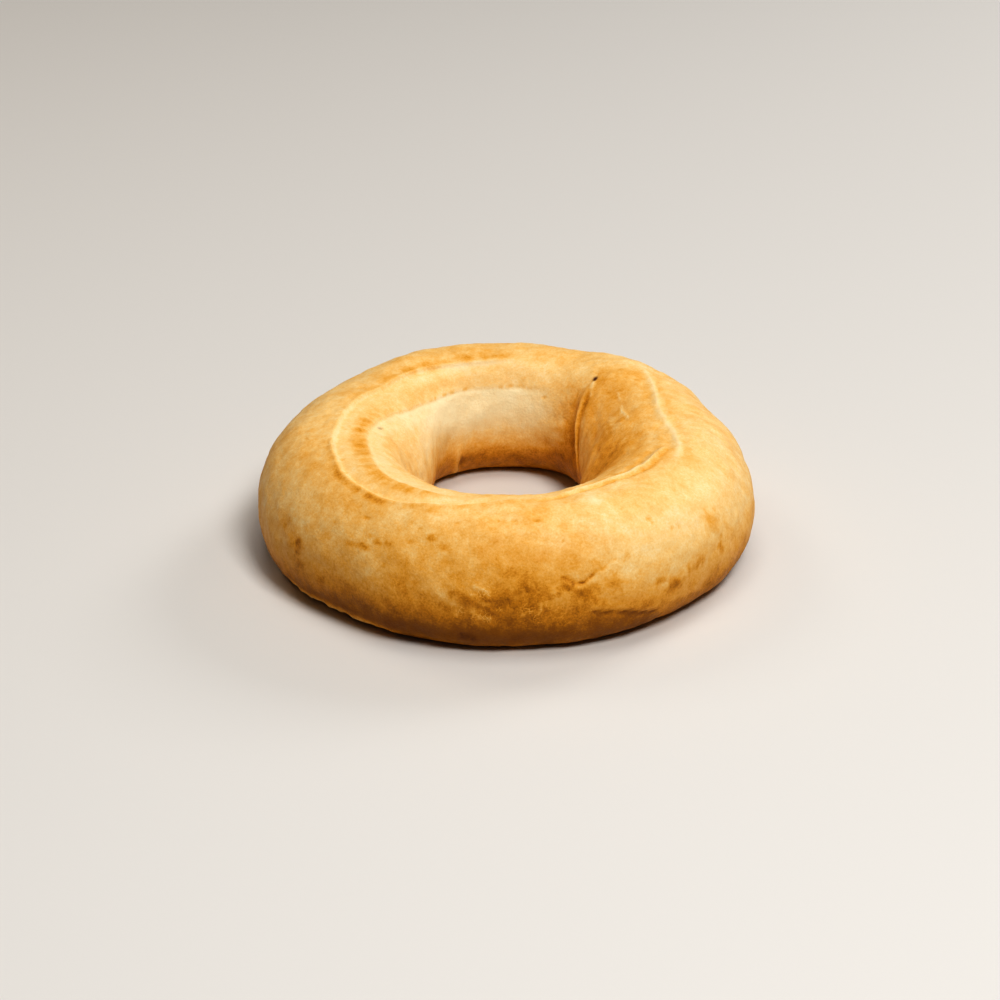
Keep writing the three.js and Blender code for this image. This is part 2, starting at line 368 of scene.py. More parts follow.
@dataclass
class CrustGrid:
    """A closed grid over the ring: columns round it, rows round its section."""

    form: RingForm
    angles: Array
    turns: Array
    points: Array
    normals: Array = field(init=False)
    streaks: Array = field(init=False)
    waves: Array = field(init=False)
    rough: Array = field(init=False)
    dots: Array = field(init=False)

    def __post_init__(self) -> None:
        """Work out normals and shared unevenness.

        Normals are the cross product of the grid's two directions. The streaks change round the ring
        and hardly along the section, because their strip is only 3.5 mm high for each radian of turn.
        The waves bend every crease a little.
        """
        round_ring = np.roll(self.points, -1, 0) - np.roll(self.points, 1, 0)
        round_section = np.roll(self.points, -1, 1) - np.roll(self.points, 1, 1)
        normals = np.cross(round_ring, round_section)
        self.normals = normals / np.linalg.norm(normals, axis=-1, keepdims=True)
        plan = np.radians(self.angles)
        round_plan = [STRIP_RADIUS * np.cos(plan), STRIP_RADIUS * np.sin(plan)]
        strip = np.stack([*round_plan, STRIP_HEIGHT * self.turns], axis=-1)
        self.streaks = np.clip(0.5 + STREAKS.at(strip), 0.0, 1.0)
        self.dots = smooth_rise(DOTS.at(strip), 0.0, 0.7)
        self.waves = noise_sum(CREASE_WAVES, self.points)
        self.rough = np.clip(RAGGED_EDGES.at(self.points), -MOST_RAGGED, MOST_RAGGED)

    @property
    def degrees(self) -> Array:
        """Turns in degrees."""
        return np.degrees(self.turns)


@dataclass(frozen=True)
class Across:
    """One bell across a line: its amount, how far from the line it lies and its half width.

    Towards the hole counts as positive. The amount can change round the ring, and be patchy in short
    streaks or in small dots.
    """

    amount: float
    offset: float
    width: float
    along: RoundSize = RoundSize(1.0)
    patchy: float = 0.0
    dotted: bool = False

    def at(self, away: Array, grid: CrustGrid) -> Array:
        """Amount times the bell, times its share round the ring, times 1 - patchy + patchy * streaks."""
        spread = 1.0 - self.patchy + self.patchy * (grid.dots if self.dotted else grid.streaks)
        return self.amount * self.along.at(grid.angles) * spread * bell(away - self.offset, self.width)


class Line(ABC):
    """A line on the crust, with bells across it that change its height and its level of browning, which
    beside some lines also paints shade and light.
    """

    shape: tuple[Across, ...]
    tint: tuple[Across, ...]

    @abstractmethod
    def side(self, grid: CrustGrid) -> tuple[Array, Array]:
        """Millimetres from the line, positive towards the hole, and the line's strength."""

    def relief(self, grid: CrustGrid) -> Array:
        """Height of the bells across the line, along the normal."""
        away, strength = self.side(grid)
        return strength * sum(part.at(away, grid) for part in self.shape)

    def bake(self, grid: CrustGrid) -> Array:
        """Change of the level of browning and painted shade beside the line."""
        away, strength = self.side(grid)
        return strength * sum(part.at(away, grid) for part in self.tint)


@dataclass(frozen=True)
class Crease(Line):
    """A line of the rolled dough that runs round the ring, through nodes of plan angle and turn."""

    nodes: Nodes
    fade: tuple[float, float]
    step: RoundSize
    softness: float
    reach: float
    shape: tuple[Across, ...] = ()
    tint: tuple[Across, ...] = ()

    def line(self, angles: Array) -> Array:
        """Turn of the crease at each plan angle, in radians."""
        at, turns = np.array(self.nodes, dtype=float).T
        return np.radians(curve_through(self._unwound(angles), at, turns))

    def strength(self, angles: Array) -> Array:
        """1 along the crease, fading to 0 at both ends."""
        start, end = self.nodes[0][0], self.nodes[-1][0]
        place = self._unwound(angles)
        return smooth_rise(place, start, start + self.fade[0]) * smooth_rise(place, end, end - self.fade[1])

    def _unwound(self, angles: Array) -> Array:
        """Plan angles counted on from the crease's own middle."""
        middle = 0.5 * (self.nodes[0][0] + self.nodes[-1][0])
        return middle + angle_gap(angles, middle)

    def side(self, grid: CrustGrid) -> tuple[Array, Array]:
        """Millimetres along the section from the crease, and its strength."""
        line = self.line(grid.angles)
        away = (grid.turns - line) * grid.form.speed(grid.angles, line) + grid.waves
        return away, self.strength(grid.angles)

    def relief(self, grid: CrustGrid) -> Array:
        """Step of minus depth * tanh(away / softness) * exp(-|away| / reach), plus the bells."""
        away, strength = self.side(grid)
        fall = np.tanh(away / self.softness) * np.exp(-np.abs(away) / self.reach)
        return super().relief(grid) - strength * self.step.at(grid.angles) * fall


class Tone(Enum):
    """What a mark changes on the crust."""

    # Browning level, with painted shade and light added in places.
    BAKE = "bake"
    # Near-black painted shade inside small holes of the crust.
    PIT_SHADE = "pit_shade"
    FLAKE = "flake"


MOST_TONE = 1.2
SPOT_DEPTH = 3.0
NEXT_ANGLE = 0.5
NEXT_TURN = 0.6


@dataclass(frozen=True)
class Spot:
    """An oval mark, placed by plan angle and turn in degrees, with half sizes in millimetres."""

    tone: Tone
    angle: float
    turn: float
    length: float
    width: float
    amount: float = 1.0
    tilt: float = 0.0
    dent: float = 0.0
    ragged: float = 0.0

    def weight(self, grid: CrustGrid) -> Array:
        """Bell over the oval: exp of minus the cubed share of its half length and half width.

        A ragged mark's share is uneven. A second bell, of the depth, keeps the mark on its own side.
        """
        angles = np.array([self.angle, self.angle + NEXT_ANGLE, self.angle])
        turns = np.radians([self.turn, self.turn, self.turn + NEXT_TURN])
        nodes = grid.form.place(angles, turns)
        along, across = nodes[1] - nodes[0], nodes[2] - nodes[0]
        along, across = along / np.linalg.norm(along), across / np.linalg.norm(across)
        lean = math.radians(self.tilt)
        first = along * math.cos(lean) + across * math.sin(lean)
        second = across * math.cos(lean) - along * math.sin(lean)
        gap = grid.points - nodes[0]
        ranges = (gap @ first / self.length) ** 2 + (gap @ second / self.width) ** 2
        depth = gap @ np.cross(first, second)
        ranges = ranges * (1.0 + self.ragged * grid.rough)
        return np.exp(-(ranges**1.5) - (depth / (SPOT_DEPTH + self.length)) ** 2)


PIECES_PER_STEP = 4
STROKE_REACH = 9.0
FAR_AWAY = 99.0


@dataclass(frozen=True)
class Stroke(Line):
    """A short line on the crust through nodes of plan angle and turn, with bells across it."""

    nodes: Nodes
    shape: tuple[Across, ...] = ()
    tint: tuple[Across, ...] = ()
    finish: float = 1.0

    def side(self, grid: CrustGrid) -> tuple[Array, Array]:
        """Signed distance from the line, and its strength.

        The line is cut in short straight pieces. The nearest point on a piece is the projection, held
        between its ends. The side is gap . (normal x piece), positive towards the hole where the nodes
        run on round the ring. The strength is a bell of the distance beyond the line's ends.

        Args:
            grid: The surface that is marked.

        Returns:
            Signed distance in millimetres, and the strength from 0 to 1.
        """
        given = np.array(self.nodes, dtype=float)
        count = np.arange(len(given), dtype=float)
        fine = np.linspace(0.0, count[-1], PIECES_PER_STEP * (len(given) - 1) + 1)
        angles, turns = curve_through(fine, count, given[:, 0]), curve_through(fine, count, given[:, 1])
        line = grid.form.place(angles, np.radians(turns))
        middle = line.mean(axis=0)
        reach = np.linalg.norm(line - middle, axis=1).max() + STROKE_REACH
        near = np.linalg.norm(grid.points - middle, axis=-1) < reach
        points, normals = grid.points[near], grid.normals[near]
        best, side = np.full(len(points), np.inf), np.zeros(len(points))
        for start, end in zip(line[:-1], line[1:]):
            way = end - start
            share = np.clip((points - start) @ way / (way @ way), 0.0, 1.0)
            gap = points - start - share[:, None] * way
            distance = np.linalg.norm(gap, axis=-1)
            across = np.cross(normals, way / np.linalg.norm(way))
            closer = distance < best
            best = np.where(closer, distance, best)
            side = np.where(closer, np.einsum("ij,ij->i", gap, across), side)
        signed, strength = np.full(near.shape, FAR_AWAY), np.zeros(near.shape)
        signed[near] = side
        strength[near] = bell(np.sqrt(np.maximum(best**2 - side**2, 0.0)), self.finish)
        return signed, strength


@dataclass(frozen=True)
class Patch:
    """A broad area that counts more or less, as a bell of plan angle times a bell of turn."""

    amount: float
    angle: float
    angle_width: float
    turn: float
    turn_width: float

    def at(self, grid: CrustGrid) -> Array:
        """Amount times both bells."""
        wide = bell(angle_gap(grid.angles, self.angle), self.angle_width)
        return self.amount * wide * bell(grid.degrees - self.turn, self.turn_width)


def only_near(angle: float, width: float, amount: float = 1.0) -> RoundSize:
    """A size that is 0 but for one flat-topped swelling."""
    return RoundSize(0.0, (Swell(amount, angle, width, 4),))


LONG_CREASE = Crease(
    nodes=((84, 116), (90, 117.5), (98, 117.5), (108, 115.5), (115, 112), (123, 108.5), (131, 105),
           (143, 101), (156, 97.5), (172, 94.5), (183, 92.3), (192, 89.5), (201, 85.5), (210, 80),
           (216, 76.5), (223, 74.3), (232, 74), (238, 75.8), (245, 79.8), (253, 86.5), (262, 95), (270, 100),
           (281, 102), (286, 102.5), (292, 104.5), (298, 106.5), (304, 107.5), (309, 107), (314, 104.5),
           (320, 101), (327, 99), (334, 99.3), (341, 99.5), (349, 97)),
    fade=(14, 7),
    step=RoundSize(0.42, (Swell(-0.38, 315, 30, 4), Swell(0.08, 200, 50))),
    softness=0.6, reach=3,
    shape=(Across(0.14, -0.5, 0.6),
           Across(0.42, 0, 0.75, only_near(316, 32)),
           Across(-0.36, -1.7, 0.7, only_near(316, 30)),
           Across(-0.30, 2.2, 1, only_near(320, 28))),
    tint=(Across(-0.13, 0.1, 0.6, RoundSize(0.8, (Swell(0.3, 200, 45), Swell(0.6, 314, 34)))),
          Across(-0.09, 1.9, 1.9, RoundSize(0.9, (Swell(-0.8, 315, 40),))),
          Across(0.08, -1.7, 1.2, only_near(110, 30), 0.6),
          Across(0.34, -1.5, 1, RoundSize(0.05, (Swell(0.95, 222, 25, 3), Swell(0.30, 262, 20))), 0.75),
          # Darker in the front groove outside the crease: painted shade in the groove.
          Across(0.28, -1.7, 0.9, only_near(316, 30, 0.9), 0.3),
          Across(0.22, 2.6, 1.2, only_near(318, 30), 0.2)))

INNER_CREASE = Crease(
    nodes=((72, 139), (80, 140), (89, 140), (99, 140.3), (108, 140.3), (116, 139), (124, 136), (132, 131.5),
           (145, 124), (158, 117.5), (173, 113), (187, 111), (200, 108), (213, 102), (225, 97), (234, 97),
           (244, 99.5), (256, 104)),
    fade=(12, 12),
    step=RoundSize(0.38, (Swell(-0.20, 98, 35),)),
    softness=0.55, reach=2.8,
    shape=(Across(0.10, 0.9, 0.9),),
    tint=(Across(-0.14, 0.8, 1, RoundSize(0.7, (Swell(0.4, 215, 40), Swell(0.7, 110, 40)))),
          Across(-0.13, 3, 2.2),
          Across(0.30, -2, 1.9, RoundSize(0.18, (Swell(0.9, 186, 24, 3), Swell(0.7, 238, 20))), 0.7),
          Across(0.26, -0.2, 0.40, only_near(104, 28, 0.9), 1, True)))

SIDE_RIDGE = Crease(
    nodes=((-27, 82), (-23, 84.5), (-15, 88), (-5, 92.5), (4, 95.5), (17, 96), (28, 94), (39, 89), (45, 82.5),
           (54, 76)),
    fade=(10, 12),
    step=RoundSize(0.10),
    softness=0.8, reach=3.5,
    shape=(Across(0.22, 0, 0.8), Across(-0.12, 2.2, 1.3), Across(-0.08, -2, 1.2)),
    tint=(Across(-0.18, 0, 0.85), Across(0.10, 2.5, 1.6), Across(0.07, -2.4, 1.3)))


def stain(*place: float, ragged: float = 0.5) -> Spot:
    """Blotch with a ragged edge that is browner, or with a negative amount paler."""
    return Spot(Tone.BAKE, *place, ragged=ragged)


def pore(*place: float) -> Spot:
    """Small brown dimple of the crust, 0.8 mm deep for each unit of its amount."""
    return Spot(Tone.BAKE, *place, dent=0.8 * place[-1])


def each(make: Callable[..., Patch | Spot], *rows: tuple[float, ...]) -> tuple[Patch | Spot, ...]:
    """One patch or mark for each row of values."""
    return tuple(make(*row) for row in rows)


# Amount, plan angle and its half width, turn and its half width.
PATCHES = each(
    Patch,
    # (-0.28, 112, 34, 154, 15) pales the back wall, partly paler baking and partly painted light.
    (0.27, 268, 24, 32, 26), (0.09, 230, 28, 0, 34), (0.07, 206, 35, 60, 30), (-0.28, 112, 34, 154, 15),
    (0.04, 80, 30, 168, 16), (-0.14, 92, 26, 166, 15), (0.08, 22, 30, 130, 22), (0.20, 350, 26, 142, 24),
    # (0.20, 62, 9, 168, 22) darkens the wall left of the seam, partly browner baking and partly painted shade
    # of the lobe; (-0.10, 97, 24, 118, 5) pales the back wall, partly paler baking and partly painted light.
    (0.10, 55, 14, 100, 12), (0.06, 268, 24, 70, 22), (0.20, 62, 9, 168, 22), (-0.10, 97, 24, 118, 5),
    (-0.12, 312, 20, -14, 26), (-0.09, 320, 24, 40, 24), (0.16, 262, 42, -36, 16), (0.15, 268, 34, -6, 17),
    (0.12, 139, 16, 96, 14), (0.05, 0, 60, 55, 45), (0.05, 95, 30, 86, 14), (-0.08, 75, 9, 152, 14),
    # (0.08, 90, 30, 186, 10) darkens the low back wall with painted shade.
    (0.08, 90, 30, 186, 10), (-0.07, 100, 14, 147, 7), (0.16, 67, 9, 182, 15), (0.10, 298, 11, -10, 14),
    (0.06, 90, 60, 212, 18), (0.10, 128, 11, 176, 26),
)

# Plan angle, turn, half length, half width and amount of each mark.
BACK_DASHES = each(
    partial(stain, ragged=0.2),
    (139, 102, 1, 0.9, 0.08), (132, 101.6, 1.6, 1.1, 0.12), (127.2, 104.6, 0.9, 1, 0.10),
    (122.6, 105.2, 2.2, 1.9, 0.23), (115.5, 108.6, 2.6, 1.7, 0.22), (108.6, 110.6, 1.3, 1.1, 0.14),
    (102.2, 109.6, 2.2, 1.9, 0.24), (96.6, 109.4, 0.9, 2, 0.22), (91.4, 110.6, 2, 1.5, 0.20),
)
LEFT_STAINS = each(
    stain,
    (211.5, 17, 3, 3.4, 0.18), (214.8, 12, 1.4, 2.4, 0.26), (215.4, -1.5, 1, 1.4, 0.15),
    (207.5, 21, 1.8, 1.6, 0.12), (231.5, 30.5, 1, 0.7, 0.30), (234.4, 33, 1, 0.5, 0.26),
    (238.2, 37, 1.1, 0.7, 0.30), (241, 39.2, 0.8, 0.6, 0.28), (235.5, 30.6, 0.8, 0.5, 0.28),
    (236.2, 41, 0.6, 0.6, 0.24), (224, 28.5, 1.2, 0.9, 0.14), (251.5, 49.5, 1, 0.9, 0.28),
    (255, 43.5, 1.1, 0.9, 0.24), (249.8, 72.5, 1.4, 0.8, 0.14), (256, 33, 1.3, 0.9, 0.14),
)
FRONT_STAINS = each(
    stain,
    (326.5, 28, 2.4, 2.4, 0.26), (328, 7.5, 0.9, 1.3, 0.32), (319.8, 7.5, 1.5, 1.4, 0.32),
    (310.5, -2.5, 2, 1.8, 0.34), (306.5, 6.5, 0.9, 0.9, 0.28), (315.5, 4.5, 0.5, 1.3, 0.20),
    (294, 14, 1.9, 1.8, 0.26), (290.5, 30.5, 1.2, 1.2, 0.18), (298.2, 29.5, 1.6, 0.8, 0.16),
    (287.2, 11, 2.6, 2, 0.26), (283, 17.5, 1.4, 1.4, 0.26), (277, 12, 3, 2, 0.14),
    (269, 9, 4, 2.6, 0.14), (261, 7, 3, 2, 0.18), (260.8, -36, 1.6, 0.9, 0.20),
    (297.2, 86, 1.4, 3, -0.14, -20),
)
LOBE_STAINS = each(
    stain,
    (48, 96, 3.6, 2.8, 0.14), (44, 106, 3, 3.6, 0.10), (32, 128, 1.6, 1.4, -0.22),
    (23.5, 126.5, 1.6, 1.6, -0.18), (7, 125.5, 1.4, 1.4, -0.18), (354, 123, 1.2, 1.2, -0.14),
    (69.3, 163.5, 1.6, 0.7, 0.16), (69.4, 168, 1.6, 0.8, -0.12),
)
# Small holes with shallow dents; their near-black colour is painted shade inside them.
PITS = (
    Spot(Tone.PIT_SHADE, 57.2, 117.2, 0.55, 1, 1.2, dent=0.2, tilt=33),
    Spot(Tone.PIT_SHADE, 167.5, 119, 1, 0.45, 0.5, dent=0.3, tilt=-30),
    Spot(Tone.PIT_SHADE, 107, 207, 0.8, 1.8, 0.45, dent=0.4),
)
PORES = each(
    pore,
    (75.9, 144, 0.7, 0.5, 0.22), (232.8, 52, 0.6, 0.5, 0.35), (229.3, 58, 0.4, 0.6, 0.22),
    (225, 39.5, 0.4, 0.9, 0.30), (246.8, 44, 0.5, 0.5, 0.24), (248.2, 56, 0.6, 0.4, 0.24),
    (257.2, 66, 0.6, 0.4, 0.22), (267.8, 72, 0.4, 0.4, 0.26), (272.2, 72, 0.7, 0.4, 0.22),
    (278.2, 71, 0.8, 0.5, 0.30), (283.8, 50, 0.4, 0.4, 0.24), (308.1, 52, 0.6, 0.8, 0.28),
    (308.4, 48, 0.4, 0.5, 0.24), (313.2, 39, 0.4, 0.4, 0.22), (315.2, 38, 0.4, 0.4, 0.22),
    (214.2, 78, 0.5, 0.5, 0.20), (205.8, 86, 0.6, 0.5, 0.22), (186, 70, 0.5, 0.5, 0.18),
)
FLAKINGS = each(
    partial(Spot, Tone.FLAKE),
    (266, 2, 16, 7, 0.16), (284, -8, 9, 6, 0.24), (290, 26, 10, 5, 0.10),
    (265.3, -7.5, 2.8, 2, 1), (265, 14, 2.4, 2.4, 0.7), (276.2, -1, 3.2, 2.8, 0.9),
    (269, 0.5, 1.3, 1.1, 0.7), (260.4, -2, 2.6, 1.4, 0.8), (283.5, -13, 1.2, 1.2, 0.6),
    (12, 120, 8, 7, 0.45), (30, 128, 6, 8, 0.35),
)
SPOTS = BACK_DASHES + LEFT_STAINS + FRONT_STAINS + LOBE_STAINS + PITS + PORES + FLAKINGS

PALE_THREAD = (Across(-0.30, 0, 0.38),)
THREAD_LIFT = (Across(0.14, 0, 0.4),)
PALE_THREADS = (
    ((43.4, 115), (41.8, 116.2), (40, 117.2)), ((35.8, 118.4), (33.2, 119.2), (30.9, 119)),
    ((29.6, 118), (27.3, 117.4), (24, 117)), ((263, 18.5), (264.5, 16.5), (265.6, 14.5), (266, 11)),
    ((262.8, -1), (263.2, -5)), ((263.9, -8), (265, -7.4), (266.2, -8.6), (266.8, -10.5)),
    ((273.5, -4), (275.2, -1), (277, -3)), ((277.4, 4.5), (277.7, 0.5)),
)
# The tears' tints are painted shade and light: darker in the opening of the tear, paler on its lit edge
# beside it.
TEAR = (
    Stroke(((283, 23), (283.8, 21.4), (285.2, 18.5), (287, 17.8), (289.2, 21.5)),
           (Across(-0.26, 0, 0.45), Across(0.10, -1, 0.6)),
           (Across(0.30, 0, 0.42), Across(-0.10, -1, 0.5)), 0.6),
    Stroke(((289.2, 21.5), (290.6, 25), (292.4, 25.8), (293.6, 29.2), (295, 30.4), (296.2, 29),
            (297.2, 27.5)),
           (Across(-0.10, 0, 0.35), Across(0.05, -0.7, 0.5)),
           (Across(0.14, 0, 0.30), Across(-0.05, -0.6, 0.35)), 0.6),
)
# The fold's tint is painted shade and light: darker in the dip under the lip, paler on the lip where light
# falls, and a broad darker zone below the fold.
FOOT_FOLD = Stroke(
    ((289.8, -6.5), (292.8, -10), (295.8, -12.5), (298.5, -16.5), (301, -21), (305.5, -27)),
    (Across(-0.34, -0.4, 0.5), Across(0.24, 0.8, 1), Across(-0.12, -2, 1.2)),
    (Across(0.20, -0.5, 0.5), Across(-0.08, 0.6, 0.7), Across(0.07, -2.6, 2)), 1.4)
SEAM_STROKES = (
    Stroke(((56.9, 121), (55.9, 125.5), (54.8, 130)),
           (Across(0.22, 0, 0.5),), (Across(-0.34, 0, 0.55),), 0.6),
    # Darker along the groove beside the rim: painted shade in the groove.
    Stroke(((56, 128), (56, 136), (55.7, 146), (54.6, 156), (52.2, 167), (48.2, 178)),
           (Across(-0.14, 0, 0.7),), (Across(0.20, 0, 0.7, patchy=0.3),), 2),
    # Paler along the rim's rounded edge: painted highlight.
    Stroke(((57.3, 126), (58, 134), (58.1, 144), (57, 156), (54.7, 167), (50.6, 177)),
           (), (Across(-0.12, 0, 0.8),), 2),
    # Paler on the soft ridge beside the seam: painted highlight on the ridge.
    Stroke(((51.8, 128), (51.8, 138), (51, 148), (48.8, 160), (45.6, 170)),
           (Across(0.12, 0, 1.2),), (Across(-0.10, 0, 1.2),), 2),
    # Darker on the back wall left of the seam: painted shadow of the lobe.
    Stroke(((62.4, 134), (62.9, 142), (61.9, 156), (59.6, 168), (55.8, 178)),
           (), (Across(0.22, 0, 2.4),), 2.5),
    Stroke(((51.2, 131), (47.4, 138), (42, 143), (33, 146)),
           (Across(-0.12, 0, 1.8), Across(0.08, 3, 1.8)),
           (Across(-0.08, 1.4, 1.4), Across(0.06, -1.6, 1.6)), 2.5),
)
SMEARS = (
    Stroke(((254, 13), (257.2, 7.5), (259.6, 2.5)), (), (Across(-0.15, 0, 1.3),), 1.6),
    Stroke(((109.2, 192), (109.4, 206), (108.6, 226)),
           (Across(0.4, 0, 1),), (Across(-0.28, 0, 0.9),), 1.5),
)
STROKES = (*TEAR, FOOT_FOLD, *SEAM_STROKES, *SMEARS,
           *(Stroke(nodes, THREAD_LIFT, PALE_THREAD, 0.5) for nodes in PALE_THREADS))


@dataclass(frozen=True)
class LobeShade:
    """Painted shade on the lobe's face, which turns away from the light: even from the seam on, then fading
    out towards the right front.
    """

    amount: float = 0.22
    middle: float = 20.0
    reach: float = 80.0
    fade_from: float = -12.0
    fade_width: float = 60.0
    gone: tuple[float, float] = (-80.0, -40.0)
    turns: tuple[float, float] = (100.0, 118.0)

    def at(self, grid: CrustGrid) -> Array:
        """Amount right of the seam, times a bell and a rise of the angle and a rise of the turn."""
        away = angle_gap(grid.angles, self.middle)
        on_lobe = (grid.form.seam.gap(grid.angles, grid.turns) < 0.0) * (np.abs(away) < self.reach)
        fading = bell(np.minimum(away - self.fade_from, 0.0), self.fade_width) * smooth_rise(away, *self.gone)
        return self.amount * on_lobe * fading * smooth_rise(grid.degrees, *self.turns)


@dataclass(frozen=True)
class FrayedLip:
    """Thin torn edge that stands out at the foot, mostly at the left front, and stayed pale there."""

    left_front: Swell = Swell(1.0, 218, 24, 4)
    elsewhere: float = 0.25
    height: float = 0.38
    whole: float = 0.50
    most: float = 1.4
    turn: float = -58.0
    turn_width: float = 12.0
    paleness: float = 0.50
    pale_turn: float = -54.0
    pale_width: float = 9.0

    def relief(self, grid: CrustGrid) -> Array:
        """Height times the share round the ring, times the torn share, times a bell of the turn."""
        run = self.elsewhere + (1.0 - self.elsewhere) * self.left_front.weight(grid.angles)
        torn = np.clip(self.whole + noise_sum(LIP_TEARS, grid.points), 0.0, self.most)
        return self.height * run * torn * bell(grid.degrees - self.turn, self.turn_width)

    def bake(self, grid: CrustGrid) -> Array:
        """Change of the browning level along the edge."""
        where = bell(grid.degrees - self.pale_turn, self.pale_width)
        return -self.paleness * self.left_front.weight(grid.angles) * where


@dataclass
class BreadRing:
    """The bread itself: its grid, creases, marks and unevenness, made into one mesh."""

    form: RingForm = field(default_factory=RingForm)
    columns: int = 480
    base_rows: int = 5
    foot_rows: int = 22
    upper_rows: int = 144
    hole_rows: int = 24
    level: RoundSize = RoundSize(0.35, (Swell(-0.03, 325, 35), Swell(0.02, 205, 35)))
    creases: tuple[Crease, ...] = (LONG_CREASE, INNER_CREASE, SIDE_RIDGE)
    patches: tuple[Patch, ...] = PATCHES
    spots: tuple[Spot, ...] = SPOTS
    strokes: tuple[Stroke, ...] = STROKES
    # Painted shade on the lobe's face.
    lobe_shade: LobeShade = LobeShade()
    lobe_face: Patch = Patch(1.0, 22, 30, 136, 24)
    lip: FrayedLip = FrayedLip()
    even_foot: float = 1.5
    # Browner towards the base outside: partly a darker baked bottom, partly painted shade low on the ring.
    foot_brown_and_shade: tuple[float, float, float] = (0.60, 38.0, -48.0)
    # Darker low on the hole wall, which faces down: painted shade.
    hole_shade: tuple[float, float, float] = (0.50, 160.0, 208.0)
    flaking_everywhere: float = 0.03
    seam_crowd: tuple[float, float] = (14.0, 10.0)
    tear_crowd: tuple[float, float, float] = (14.0, -80.0, 20.0)
    crease_crowd: tuple[float, float] = (0.16, 0.12)

    def grid(self) -> CrustGrid:
        """Lay the grid on the smooth body, with columns closer at the seam and rows at the creases."""
        columns = self._column_angles()[:, None]
        foot = 0.5 * math.pi * (self._rows(self.foot_rows) - 1.0)
        hole_side = math.pi * (1.0 + 0.5 * self._rows(self.hole_rows))
        turns = np.concatenate([foot, self._upper_turns(columns), hole_side], axis=1)
        angles = self.form.seam.lean(columns, turns)
        share = self._rows(self.base_rows)
        base_turns = np.full(share.shape, 1.5 * math.pi)
        base_angles = self.form.seam.lean(columns, base_turns, 1.0 - share)
        hole_foot, outer_foot = self.form.feet(base_angles)
        base = self.form.spot(base_angles, hole_foot + (outer_foot - hole_foot) * share, 0.0)
        points = np.concatenate([base, self.form.place(angles, turns)], axis=1)
        points[..., 2] = np.maximum(points[..., 2], 0.0)
        return CrustGrid(self.form, np.concatenate([base_angles, angles], axis=1),
                         np.concatenate([base_turns, turns], axis=1), points)

    @staticmethod
    def _shares(count: int) -> Array:
        """Even shares 0, 1 / count and so on, below 1."""
        return np.arange(count) / count

    def _rows(self, count: int) -> Array:
        """The same even shares in each column."""
        return np.broadcast_to(self._shares(count), (self.columns, count))

    def _column_angles(self) -> Array:
        """Plan angles of the columns, with more of them round the seam and the front tear."""
        middle = self.form.seam.middle
        low, high = middle - 180.0, middle + 180.0
        seam_gain, seam_width = self.seam_crowd
        tear_gain, tear_angle, tear_width = self.tear_crowd

        def total(angles: Array) -> Array:
            """The angle plus a tanh step at the seam and a wider one at the tear."""
            seam = seam_gain * np.tanh((angles - middle) / seam_width)
            return angles + seam + tear_gain * np.tanh((angles - tear_angle) / tear_width)

        ends = total(np.array([low, high]))
        return find_by_halving(total, ends[0] + (ends[1] - ends[0]) * self._shares(self.columns), low, high)

    def _upper_turns(self, columns: Array) -> Array:
        """Turns of the upper rows in each column, with more of them round the creases."""
        lines = [(crease.strength(columns), crease.line(columns)) for crease in self.creases]
        gain, width = self.crease_crowd

        def total(turns: Array) -> Array:
            """The turn plus a tanh step at each crease."""
            return turns + sum(gain * s * np.tanh((turns - line) / width) for s, line in lines)

        start = total(np.zeros((self.columns, 1)))
        end = total(np.full((self.columns, 1), math.pi))
        return find_by_halving(total, start + (end - start) * self._shares(self.upper_rows), 0.0, math.pi)

    def relief(self, grid: CrustGrid) -> Array:
        """Height of all unevenness over the smooth body, in millimetres along its normal."""
        points = grid.points
        height = noise_sum(UNEVENNESS, points)
        height += sum(crease.relief(grid) for crease in self.creases)
        height += sum(stroke.relief(grid) for stroke in self.strokes if stroke.shape)
        height -= sum(spot.dent * spot.weight(grid) for spot in self.spots if spot.dent)
        height += self.lobe_face.at(grid) * noise_sum(LOBE_FOLDS, points) + self.lip.relief(grid)
        return height * smooth_rise(points[..., 2], 0.0, self.even_foot)

    def bake(self, grid: CrustGrid) -> Array:
        """Level over the whole crust, 0 where it is cream to 1 where it is brown: browning, plus painted
        shade low outside, low in the hole, on the lobe and beside the seam, and painted light on the back
        wall.
        """
        level = self.level.at(grid.angles) + self.lobe_shade.at(grid) + self.lip.bake(grid)
        for amount, start, full in (self.foot_brown_and_shade, self.hole_shade):
            level += amount * smooth_rise(grid.degrees, start, full)
        level += sum(patch.at(grid) for patch in self.patches)
        level += sum(crease.bake(grid) for crease in self.creases)
        return level + sum(stroke.bake(grid) for stroke in self.strokes if stroke.tint)

    def tones(self, grid: CrustGrid) -> dict[Tone, Array]:
        """One field for each tone over the crust, from 0 to 1.2."""
        flaking_field = np.full_like(grid.turns, self.flaking_everywhere)
        fields = {Tone.BAKE: self.bake(grid), Tone.PIT_SHADE: np.zeros_like(grid.turns), Tone.FLAKE: flaking_field}
        for spot in self.spots:
            fields[spot.tone] = fields[spot.tone] + spot.amount * spot.weight(grid)
        return {tone: np.clip(values, 0.0, MOST_TONE) for tone, values in fields.items()}

    def build(self) -> bpy.types.Object:
        """Make the ring's object in metres, with a float attribute for each tone."""
        grid = self.grid()
        points = grid.points + grid.normals * self.relief(grid)[..., None]
        points[..., 2] = np.maximum(points[..., 2], 0.0)
        mesh = closed_grid_mesh("bread_crust", points * MM)
        for tone, values in self.tones(grid).items():
            layer = mesh.attributes.new(tone.value, "FLOAT", "POINT")
            layer.data.foreach_set("value", values.astype(np.float32).ravel())
        return show(mesh.name, mesh)


